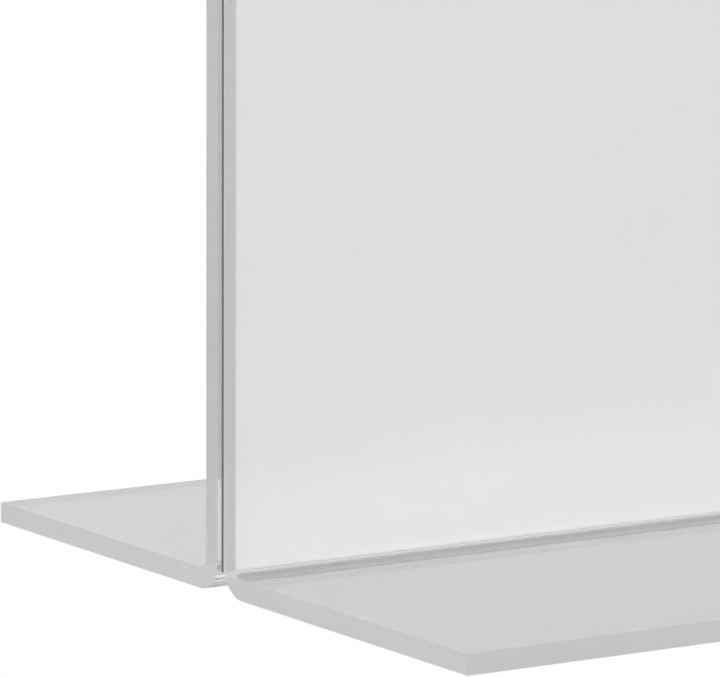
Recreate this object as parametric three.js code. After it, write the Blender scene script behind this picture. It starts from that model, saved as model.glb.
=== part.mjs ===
// A free-standing counter guard: two clear acrylic sheets, each bent once into an L, stand back to
// back as an upside-down T. Clear strips hold them apart, and a thin board slides between them.
//
// Millimetres. X runs along the guard, Y through it with the front at -Y, and Z up from the counter.
// The origin is on the counter, in the middle of the base.

import * as THREE from 'three';

// Driving dimensions
const WIDTH = 600;          // length of the guard along the counter
const HEIGHT = 700;         // counter to top edge
const SHEET = 5;            // thickness of the acrylic
const SLOT = 3;             // space between the two upright sheets
const REACH = 103;          // middle of the slot to the outer edge of a foot
const BEND_INSIDE = 2.5;    // radius inside the line bend
const BEND_STEPS = 12;      // facets round each quarter bend

const BOARD = 1.2;          // thickness of the board in the slot
const BOARD_BEHIND_FRONT = 0.1;  // play between the board and the front sheet
const BOARD_BASE = 5.4;     // height of the board's lower edge
const BOARD_PLAY = 1;       // play between the board and the top strip

const STRIP_HEIGHT = 10;    // the strip that closes the slot along the top
const REST_LENGTH = 60;     // each block that the board stands on
const REST_SPACING = 120;   // centre to centre
const REST_BASE = 1;        // underside of a block, clear of the counter
const REST_PLAY = 0.2;      // under the board
const CEMENT = 0.3;         // cement between a block and the bends

// Values that follow
const HALF_SLOT = SLOT / 2;
const BEND_OUTSIDE = BEND_INSIDE + SHEET;
const BEND_CENTRE = HALF_SLOT + BEND_OUTSIDE;
const RIGHT_ANGLE = Math.PI / 2;

// Materials: each piece gets its own copy
const clearAcrylic = () => new THREE.MeshStandardMaterial({
  color: 0xeef1f1, roughness: 0.04, metalness: 0, transparent: true, opacity: 0.35,
});
const paleBoard = () => new THREE.MeshStandardMaterial({
  color: 0xdcdcdc, roughness: 0.55, metalness: 0,
});

// Turns a profile drawn in (Y, Z) into a solid that runs along X, centred on X = 0.
function alongX(profile, length) {
  const geometry = new THREE.ExtrudeGeometry(profile, { depth: length, bevelEnabled: false });
  geometry.translate(0, 0, -length / 2);
  const alongY = new THREE.Vector3(0, 1, 0);
  const alongZ = new THREE.Vector3(0, 0, 1);
  const lengthways = new THREE.Vector3(1, 0, 0);
  return geometry.applyMatrix4(new THREE.Matrix4().makeBasis(alongY, alongZ, lengthways));
}

function piece(name, geometry, material) {
  const mesh = new THREE.Mesh(geometry, material);
  mesh.name = name;
  return mesh;
}

// Points of an arc in (Y, Z), first and last included.
function arc(centreY, centreZ, radius, from, to) {
  return Array.from({ length: BEND_STEPS + 1 }, (_, step) => {
    const angle = from + (to - from) * step / BEND_STEPS;
    return new THREE.Vector2(
      centreY + radius * Math.cos(angle),
      centreZ + radius * Math.sin(angle),
    );
  });
}

// Section of the rear sheet: the upright, the bend and a foot that reaches towards +Y.
// The outside of the bend faces the slot and the counter.
function sheetSection() {
  return new THREE.Shape([
    new THREE.Vector2(HALF_SLOT, HEIGHT),
    ...arc(BEND_CENTRE, BEND_OUTSIDE, BEND_OUTSIDE, 2 * RIGHT_ANGLE, 3 * RIGHT_ANGLE),
    new THREE.Vector2(REACH, 0),
    new THREE.Vector2(REACH, SHEET),
    ...arc(BEND_CENTRE, BEND_OUTSIDE, BEND_INSIDE, 3 * RIGHT_ANGLE, 2 * RIGHT_ANGLE),
    new THREE.Vector2(HALF_SLOT + SHEET, HEIGHT),
  ]);
}

function sheets() {
  const rear = piece('rear_sheet', alongX(sheetSection(), WIDTH), clearAcrylic());
  const front = piece('front_sheet', alongX(sheetSection(), WIDTH), clearAcrylic());
  front.rotation.z = Math.PI;
  return [front, rear];
}

// The board that blocks the view through the guard, open to both ends so that it slides out.
function insertBoard() {
  const top = HEIGHT - STRIP_HEIGHT - BOARD_PLAY;
  const height = top - BOARD_BASE;
  const board = piece('insert_board', new THREE.BoxGeometry(WIDTH, BOARD, height), paleBoard());
  board.position.y = -HALF_SLOT + BOARD_BEHIND_FRONT + BOARD / 2;
  board.position.z = BOARD_BASE + height / 2;
  return board;
}

// The strip cemented between the sheets, flush with their top edges.
function topStrip() {
  const strip = piece(
    'top_spacer_strip', new THREE.BoxGeometry(WIDTH, SLOT, STRIP_HEIGHT), clearAcrylic(),
  );
  strip.position.z = HEIGHT - STRIP_HEIGHT / 2;
  return strip;
}

// Half-width at a height z of the hollow between the two bends, less the cement.
function hollowHalfWidth(z) {
  const radius = BEND_OUTSIDE + CEMENT;
  return BEND_CENTRE - Math.sqrt(radius ** 2 - (BEND_OUTSIDE - z) ** 2);
}

// Section of a block cemented into that hollow: its sides follow the bends.
function restSection() {
  const top = BOARD_BASE - REST_PLAY;
  const heights = Array.from(
    { length: BEND_STEPS + 1 }, (_, step) => REST_BASE + (top - REST_BASE) * step / BEND_STEPS,
  );
  const rearSide = heights.map((z) => new THREE.Vector2(hollowHalfWidth(z), z));
  const frontSide = heights.map((z) => new THREE.Vector2(-hollowHalfWidth(z), z)).reverse();
  return new THREE.Shape([...rearSide, ...frontSide]);
}

function rests() {
  return ['left', 'middle', 'right'].map((side, index) => {
    const rest = piece(`bottom_spacer_${side}`, alongX(restSection(), REST_LENGTH), clearAcrylic());
    rest.position.x = (index - 1) * REST_SPACING;
    return rest;
  });
}

const group = new THREE.Group();
group.add(...sheets(), insertBoard(), topStrip(), ...rests());

export default group;
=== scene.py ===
import math

import bmesh
import bpy
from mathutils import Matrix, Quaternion, Vector


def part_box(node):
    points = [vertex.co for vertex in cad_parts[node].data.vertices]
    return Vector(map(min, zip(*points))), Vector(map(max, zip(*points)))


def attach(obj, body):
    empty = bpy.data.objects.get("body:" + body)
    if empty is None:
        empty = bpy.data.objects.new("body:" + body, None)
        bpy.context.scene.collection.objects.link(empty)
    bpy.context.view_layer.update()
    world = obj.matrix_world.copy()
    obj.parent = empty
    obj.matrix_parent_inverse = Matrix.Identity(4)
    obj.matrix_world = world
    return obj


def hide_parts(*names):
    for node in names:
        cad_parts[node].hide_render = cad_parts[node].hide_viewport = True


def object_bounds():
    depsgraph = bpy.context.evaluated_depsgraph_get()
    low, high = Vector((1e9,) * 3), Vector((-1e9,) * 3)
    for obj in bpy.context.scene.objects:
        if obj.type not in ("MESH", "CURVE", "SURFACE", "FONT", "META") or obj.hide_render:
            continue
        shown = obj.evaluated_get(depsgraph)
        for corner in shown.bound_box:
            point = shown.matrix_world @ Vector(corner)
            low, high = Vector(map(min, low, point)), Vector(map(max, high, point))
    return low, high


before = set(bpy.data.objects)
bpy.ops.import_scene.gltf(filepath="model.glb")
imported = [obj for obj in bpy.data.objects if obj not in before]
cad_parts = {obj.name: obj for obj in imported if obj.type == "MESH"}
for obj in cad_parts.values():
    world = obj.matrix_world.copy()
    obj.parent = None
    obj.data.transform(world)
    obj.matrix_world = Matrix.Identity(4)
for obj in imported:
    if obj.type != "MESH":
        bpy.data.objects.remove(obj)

cad_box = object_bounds()

# Driving dimensions, in metres, as in the design
SHEET = 0.005
BEND_INSIDE = 0.0025
BEND_STEPS = 48
EDGE_ROUND = 0.00006      # rounding that the polisher leaves on a cut edge
BOARD_ROUND = 0.00005
SKIN = 0.00012            # the board's pale skins over its dark core; the core's dark grey is painted shade on the board's cut edge
AIR_FILM = 0.00002        # between the top strip and the sheets
ACRYLIC_IOR = 1.49

# Material slots of a clear piece and of the board
FACE, CUT = 0, 1
SKIN_SLOT, PAINTED_SHADE_SLOT = 0, 1

# Camera
VIEW_YAW = math.radians(32.82)
VIEW_PITCH = math.radians(9.37)
VIEW_ROLL = math.radians(0.246)
VIEW_DISTANCE = 1.4845
VIEW_TARGET = Vector((0.0381, 0.0, 0.0569))   # from the foot of the left end
LENS = 317.9
SENSOR = 36

# Studio. Radiances are relative to white paper.
ZENITH = 0.54
ZENITH_BLEND = (0.17, 0.6)                          # Z of the direction, from horizon to zenith
HORIZON = ((-0.8, 0.5), (-0.1, 0.45), (0.6, 0.85))   # Y of the direction, and the radiance there
FLOOR_GREY = 0.3
FLOOR_GLOW = 0.18
FLOOR_SIZE = 12
FLOOR_DROP = 0.0002
LIGHT_BOUNCES = 256                                 # light runs along inside the sheets
DIFFUSE_BOUNCES = 6
# Azimuth from the back towards +X and elevation in degrees, distance, width, height, radiance
SOFTBOXES = {
    "key": (200, 33, 3.6, 4.4, 2.8, 1.82),
    "fill": (147, 10.8, 4.0, 1.0, 0.34, 0.4),
    "back": (345, 48, 4.0, 4.0, 3.0, 1.1),
}


# Mesh helpers

def new_object(name, data):
    piece = bpy.data.objects.new(name, data)
    bpy.context.scene.collection.objects.link(piece)
    return piece


def arc(centre_y, centre_z, radius, start, end, steps):
    return [
        (
            centre_y + radius * math.cos(start + (end - start) * step / steps),
            centre_z + radius * math.sin(start + (end - start) * step / steps),
        )
        for step in range(steps + 1)
    ]


def prism(name, section, left, right):
    """A closed solid with this section in (Y, Z), from left to right along X."""
    shape = bmesh.new()
    ends = [[shape.verts.new((x, y, z)) for y, z in section] for x in (left, right)]
    count = len(section)
    shape.faces.new(ends[0])
    shape.faces.new(list(reversed(ends[1])))
    for here in range(count):
        there = (here + 1) % count
        shape.faces.new((ends[0][here], ends[1][here], ends[1][there], ends[0][there]))
    bmesh.ops.recalc_face_normals(shape, faces=shape.faces)
    mesh = bpy.data.meshes.new(name)
    shape.to_mesh(mesh)
    shape.free()
    return new_object(name, mesh)


def box_section(low_y, high_y, low_z, high_z):
    return [(low_y, low_z), (high_y, low_z), (high_y, high_z), (low_y, high_z)]


def apply_modifiers(piece):
    bpy.context.view_layer.update()
    solid = bpy.data.meshes.new_from_object(
        piece.evaluated_get(bpy.context.evaluated_depsgraph_get())
    )
    piece.modifiers.clear()
    piece.data = solid


def finish_edges(piece, width, segments=2):
    """Rounds the sharp edges a little and shades the bends smoothly."""
    bevel = piece.modifiers.new("edge_round", "BEVEL")
    bevel.width = width
    bevel.segments = segments
    bevel.limit_method = "ANGLE"
    bevel.angle_limit = math.radians(40)
    apply_modifiers(piece)
    for face in piece.data.polygons:
        face.use_smooth = True
    weighted = piece.modifiers.new("weighted_normals", "WEIGHTED_NORMAL")
    weighted.weight = 50
    apply_modifiers(piece)


# Node helpers

def principled(name):
    """A new material, as its node tree, its shader and itself."""
    material = bpy.data.materials.new(name)
    material.use_nodes = True
    return material.node_tree, material.node_tree.nodes["Principled BSDF"], material


def noise(tree, scale, detail, stretch=(1, 1, 1)):
    """Noise over the piece's own space. A small stretch draws it out along that axis."""
    place = tree.nodes.new("ShaderNodeTexCoord")
    squeeze = tree.nodes.new("ShaderNodeMapping")
    squeeze.inputs["Scale"].default_value = stretch
    texture = tree.nodes.new("ShaderNodeTexNoise")
    texture.inputs["Scale"].default_value = scale
    texture.inputs["Detail"].default_value = detail
    tree.links.new(place.outputs["Object"], squeeze.inputs["Vector"])
    tree.links.new(squeeze.outputs["Vector"], texture.inputs["Vector"])
    return texture.outputs["Fac"]


def spread(tree, value, start, end, low, high):
    """Maps the part of the value between start and end to low and high."""
    step = tree.nodes.new("ShaderNodeMapRange")
    step.inputs["From Min"].default_value = start
    step.inputs["From Max"].default_value = end
    step.inputs["To Min"].default_value = low
    step.inputs["To Max"].default_value = high
    tree.links.new(value, step.inputs["Value"])
    return step.outputs[0]


def add(tree, first, second):
    node = tree.nodes.new("ShaderNodeMath")
    tree.links.new(first, node.inputs[0])
    tree.links.new(second, node.inputs[1])
    return node.outputs[0]


def tint(tree, value, first, second):
    """Goes from the first colour to the second as the value goes from 0 to 1."""
    blend = tree.nodes.new("ShaderNodeMix")
    blend.data_type = "RGBA"
    from_colour, to_colour, result = blend.inputs[6], blend.inputs[7], blend.outputs[2]
    tree.links.new(value, blend.inputs["Factor"])
    from_colour.default_value = (*first, 1)
    to_colour.default_value = (*second, 1)
    return result


def bump(tree, shader, height, strength, distance):
    relief = tree.nodes.new("ShaderNodeBump")
    relief.inputs["Strength"].default_value = strength
    relief.inputs["Distance"].default_value = distance
    tree.links.new(height, relief.inputs["Height"])
    tree.links.new(relief.outputs["Normal"], shader.inputs["Normal"])


# Materials

def clear(name):
    tree, shader, material = principled(name)
    shader.inputs["IOR"].default_value = ACRYLIC_IOR
    shader.inputs["Transmission Weight"].default_value = 1.0
    return tree, shader, material


def acrylic_face():
    """Cast acrylic as it comes from under its film: a trace of waviness and of wiping."""
    tree, shader, material = clear("acrylic_face")
    mottle = noise(tree, 14, 2)
    colour = tint(tree, mottle, (1.0, 1.0, 1.0), (0.994, 0.995, 0.995))
    tree.links.new(colour, shader.inputs["Base Color"])
    wiped = noise(tree, 22, 3, (0.35, 1, 1))
    tree.links.new(spread(tree, wiped, 0.55, 0.8, 0.0, 0.03), shader.inputs["Roughness"])
    bump(tree, shader, noise(tree, 7, 1), 0.03, 0.0004)
    return material


def acrylic_cut_edge():
    """A sawn edge, polished to a satin, with the saw's traces still faintly there."""
    tree, shader, material = clear("acrylic_cut_edge")
    colour = tint(tree, noise(tree, 60, 2), (1.0, 1.0, 1.0), (0.988, 0.99, 0.99))
    tree.links.new(colour, shader.inputs["Base Color"])
    traces = noise(tree, 420, 2, (1, 0.06, 1))
    tree.links.new(spread(tree, traces, 0.3, 0.7, 0.3, 0.38), shader.inputs["Roughness"])
    bump(tree, shader, traces, 0.015, 0.00005)
    return material


def board_skin():
    """Matt pale plastic with a fine tooth, a little uneven in tone."""
    tree, shader, material = principled("board_skin")
    uneven = noise(tree, 5, 3)
    colour = tint(tree, uneven, (0.885, 0.885, 0.885), (0.855, 0.856, 0.855))
    tree.links.new(colour, shader.inputs["Base Color"])
    tooth = noise(tree, 2200, 3)
    tree.links.new(spread(tree, tooth, 0.3, 0.7, 0.52, 0.68), shader.inputs["Roughness"])
    bump(tree, shader, tooth, 0.12, 0.00004)
    return material


def board_painted_shade_core():
    """Dark grey between the skins, cut across. The dark grey is painted shade: it stands in for
    the shade on the board's cut edge.
    """
    tree, shader, material = principled("board_painted_shade_core")
    grain = noise(tree, 3000, 3, (1, 1, 0.2))
    # Painted shade: a dark grey, with a random spread of tone, that stands in for the shade on the
    # board's cut edge
    colour = tint(tree, grain, (0.17, 0.17, 0.17), (0.24, 0.24, 0.24))
    tree.links.new(colour, shader.inputs["Base Color"])
    tree.links.new(spread(tree, grain, 0.3, 0.7, 0.7, 0.9), shader.inputs["Roughness"])
    bump(tree, shader, grain, 0.2, 0.00005)
    return material


# The guard's clear pieces

def sheet_section(slot_side, reach, top):
    """Outline of a bent sheet whose upright stands at +Y of the slot and whose foot runs to +Y."""
    outside = BEND_INSIDE + SHEET
    centre = slot_side + outside
    quarter = math.pi / 2
    return (
        [(slot_side, top)]
        + arc(centre, outside, outside, 2 * quarter, 3 * quarter, BEND_STEPS)
        + [(reach, 0.0), (reach, SHEET)]
        + arc(centre, outside, BEND_INSIDE, 3 * quarter, 2 * quarter, BEND_STEPS)
        + [(slot_side + SHEET, top)]
    )


def mark_cut_edges(piece, reach, top):
    """Gives the ends, the toe and the top edge of a sheet the cut edge's slot."""
    right = max(vertex.co.x for vertex in piece.data.vertices)
    near = 1.1 * EDGE_ROUND
    for face in piece.data.polygons:
        spot = face.center
        at_end = right - abs(spot.x) < near
        at_toe = reach - abs(spot.y) < near
        at_top = top - spot.z < near
        face.material_index = CUT if at_end or at_toe or at_top else FACE


def finish_clear(piece, node, face_material, cut_material, reach, top):
    """Rounds the edges, gives both materials, and puts the piece in the node's place."""
    finish_edges(piece, EDGE_ROUND)
    piece.data.materials.append(face_material)
    piece.data.materials.append(cut_material)
    mark_cut_edges(piece, reach, top)
    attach(piece, "guard")
    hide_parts(node)


def build_sheet(node, towards, face_material, cut_material):
    low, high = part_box(node)
    slot_side = min(abs(low.y), abs(high.y))
    reach = max(abs(low.y), abs(high.y))
    section = [(towards * y, z) for y, z in sheet_section(slot_side, reach, high.z)]
    piece = prism(node + "_clear", section, low.x, high.x)
    finish_clear(piece, node, face_material, cut_material, reach, high.z)


def build_top_strip(face_material, cut_material):
    """The strip that holds the sheets apart along their top edge. It has no toe."""
    node = "top_spacer_strip"
    low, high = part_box(node)
    section = box_section(low.y + AIR_FILM, high.y - AIR_FILM, low.z, high.z)
    piece = prism("top_strip_clear", section, low.x, high.x)
    finish_clear(piece, node, face_material, cut_material, math.inf, high.z)


# The board

def build_board(skin_material, painted_shade_core_material):
    """A board of two pale skins on a dark core, whose dark grey is painted shade on the board's
    cut edge.
    """
    low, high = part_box("insert_board")
    piece = prism("board", box_section(low.y, high.y, low.z, high.z), low.x, high.x)
    finish_edges(piece, BOARD_ROUND, 1)
    cuts = (low.y + SKIN, high.y - SKIN)
    shape = bmesh.new()
    shape.from_mesh(piece.data)
    for y in cuts:
        bmesh.ops.bisect_plane(
            shape, geom=shape.verts[:] + shape.edges[:] + shape.faces[:],
            plane_co=(0, y, 0), plane_no=(0, 1, 0),
        )
    shape.to_mesh(piece.data)
    shape.free()
    piece.data.materials.append(skin_material)
    piece.data.materials.append(painted_shade_core_material)
    # Faces between the skins take the dark core, which is painted shade
    for face in piece.data.polygons:
        between = cuts[0] < face.center.y < cuts[1]
        face.material_index = PAINTED_SHADE_SLOT if between else SKIN_SLOT
    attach(piece, "board")
    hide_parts("insert_board")


# Studio

def place_camera():
    low, _ = cad_box
    look = Vector((
        math.sin(VIEW_YAW) * math.cos(VIEW_PITCH),
        math.cos(VIEW_YAW) * math.cos(VIEW_PITCH),
        -math.sin(VIEW_PITCH),
    ))
    target = Vector((low[0], 0.0, low[2])) + VIEW_TARGET
    lens = bpy.data.cameras.new("camera")
    lens.lens = LENS
    lens.sensor_width = SENSOR
    lens.clip_start = 0.01
    camera = new_object("camera", lens)
    camera.location = target - look * VIEW_DISTANCE
    camera.rotation_mode = "QUATERNION"
    camera.rotation_quaternion = look.to_track_quat("-Z", "Y") @ Quaternion((0, 0, 1), VIEW_ROLL)
    bpy.context.scene.camera = camera


def camera_only(tree, seen, other):
    """A shader that the camera sees directly, and another that lights and reflects."""
    path = tree.nodes.new("ShaderNodeLightPath")
    mix = tree.nodes.new("ShaderNodeMixShader")
    tree.links.new(path.outputs["Is Camera Ray"], mix.inputs["Fac"])
    tree.links.new(other, mix.inputs[1])
    tree.links.new(seen, mix.inputs[2])
    return mix.outputs[0]


def horizon_radiance(tree, level):
    """Steps smoothly from one of HORIZON's radiances to the next."""
    total = None
    for (start, first), (end, last) in zip(HORIZON, HORIZON[1:]):
        base = 0.0 if total else first
        step = spread(tree, level, start, end, base, base + last - first)
        step.node.interpolation_type = "SMOOTHSTEP"
        total = add(tree, total, step) if total else step
    return total


def set_world():
    """White behind the guard, and a grey studio around it, darker overhead."""
    world = bpy.data.worlds.new("studio")
    world.use_nodes = True
    tree = world.node_tree
    studio = tree.nodes["Background"]
    studio.inputs["Color"].default_value = (1, 1, 1, 1)
    white = tree.nodes.new("ShaderNodeBackground")
    white.inputs["Color"].default_value = (1, 1, 1, 1)
    place = tree.nodes.new("ShaderNodeTexCoord")
    split = tree.nodes.new("ShaderNodeSeparateXYZ")
    tree.links.new(place.outputs["Generated"], split.inputs[0])
    up = spread(tree, split.outputs["Z"], *ZENITH_BLEND, 0, 1)
    up.node.interpolation_type = "SMOOTHSTEP"
    blend = tree.nodes.new("ShaderNodeMix")
    blend.data_type = "FLOAT"
    tree.links.new(up, blend.inputs["Factor"])
    tree.links.new(horizon_radiance(tree, split.outputs["Y"]), blend.inputs[2])
    blend.inputs[3].default_value = ZENITH
    tree.links.new(blend.outputs[0], studio.inputs["Strength"])
    out = tree.nodes["World Output"]
    tree.links.new(camera_only(tree, white.outputs[0], studio.outputs[0]), out.inputs["Surface"])
    bpy.context.scene.world = world
    bpy.context.scene.view_settings.view_transform = "Standard"


def hang_softbox(name, azimuth, elevation, distance, width, height, radiance):
    """A soft box that faces the guard, and that the camera doesn't see."""
    azimuth = math.radians(azimuth)
    elevation = math.radians(elevation)
    box = bpy.data.lights.new(name, "AREA")
    box.shape = "RECTANGLE"
    box.size = width
    box.size_y = height
    box.energy = radiance * math.pi * width * height
    light = new_object(name, box)
    away = Vector((
        math.sin(azimuth) * math.cos(elevation),
        math.cos(azimuth) * math.cos(elevation),
        math.sin(elevation),
    ))
    light.location = away * distance
    light.rotation_mode = "QUATERNION"
    light.rotation_quaternion = away.to_track_quat("Z", "Y")
    light.visible_camera = False


def lay_floor():
    bpy.ops.mesh.primitive_plane_add(size=FLOOR_SIZE, location=(0, 0, -FLOOR_DROP))
    floor = bpy.context.object
    floor.name = "floor"
    tree, shader, material = principled("floor")
    shader.inputs["Base Color"].default_value = (FLOOR_GREY, FLOOR_GREY, FLOOR_GREY, 1)
    shader.inputs["Roughness"].default_value = 0.8
    shader.inputs["Emission Color"].default_value = (1, 1, 1, 1)
    shader.inputs["Emission Strength"].default_value = FLOOR_GLOW
    white = tree.nodes.new("ShaderNodeEmission")
    white.inputs["Color"].default_value = (1, 1, 1, 1)
    out = tree.nodes["Material Output"]
    tree.links.new(camera_only(tree, white.outputs[0], shader.outputs[0]), out.inputs["Surface"])
    floor.data.materials.append(material)


def set_light_paths():
    cycles = bpy.context.scene.cycles
    cycles.max_bounces = LIGHT_BOUNCES
    cycles.transmission_bounces = LIGHT_BOUNCES
    cycles.glossy_bounces = LIGHT_BOUNCES
    cycles.diffuse_bounces = DIFFUSE_BOUNCES
    cycles.blur_glossy = 0.0    # or the sheets would swallow light that a diffuse face sends on


acrylic = acrylic_face()
cut_edge = acrylic_cut_edge()
for node, towards in (("front_sheet", -1), ("rear_sheet", 1)):
    build_sheet(node, towards, acrylic, cut_edge)
build_top_strip(acrylic, cut_edge)
for node in ("bottom_spacer_left", "bottom_spacer_middle", "bottom_spacer_right"):
    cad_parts[node].data.materials.clear()
    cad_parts[node].data.materials.append(acrylic)
build_board(board_skin(), board_painted_shade_core())

place_camera()
set_world()
for name, box in SOFTBOXES.items():
    hang_softbox(name, *box)
lay_floor()
set_light_paths()
